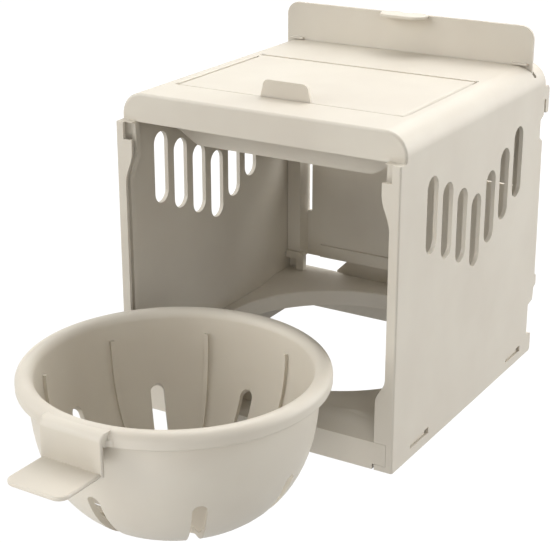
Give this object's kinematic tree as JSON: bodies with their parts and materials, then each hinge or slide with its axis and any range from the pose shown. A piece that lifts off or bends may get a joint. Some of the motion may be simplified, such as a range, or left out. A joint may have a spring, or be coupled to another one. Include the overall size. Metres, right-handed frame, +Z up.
{
  "type": "cage nest box",
  "caption": "Hook-on nest box for small cage birds: an open-fronted, vented hood with a clip-in floor tray and rear frame, a sliding shutter, a roof lid and a lift-out nest bowl.",
  "frame": {"origin": "middle of the line between the two cage hooks' seats, where the cage wire carries the box", "axes": "+X to the right along the front, +Y from the open front towards the rear doorway and the cage, +Z up"},
  "size_m": [0.1208, 0.2656, 0.1525],
  "materials": {
    "ivory_plastic": "matte"
  },
  "bodies": {
    "box": {"hood": "ivory_plastic", "rear_frame": "ivory_plastic", "floor_tray": "ivory_plastic"},
    "shutter": {"shutter": "ivory_plastic"},
    "lid": {"roof_lid": "ivory_plastic"},
    "bowl": {"nest_bowl": "ivory_plastic"}
  },
  "joints": [
    {"name": "lid_hinge", "type": "hinge", "parent": "box", "child": "lid", "pos_m": [0, -0.04835, 0.0134], "axis": [-1, 0, 0], "range_deg": [0, 95]},
    {"name": "shutter_slide", "type": "slide", "parent": "box", "child": "shutter", "axis": [0, 0, 1], "range_m": [0, 0.04]},
    {"name": "bowl_draw", "type": "slide", "parent": "box", "child": "bowl", "axis": [0, -1, 0], "range_m": [-0.004, 0.1]}
  ]
}
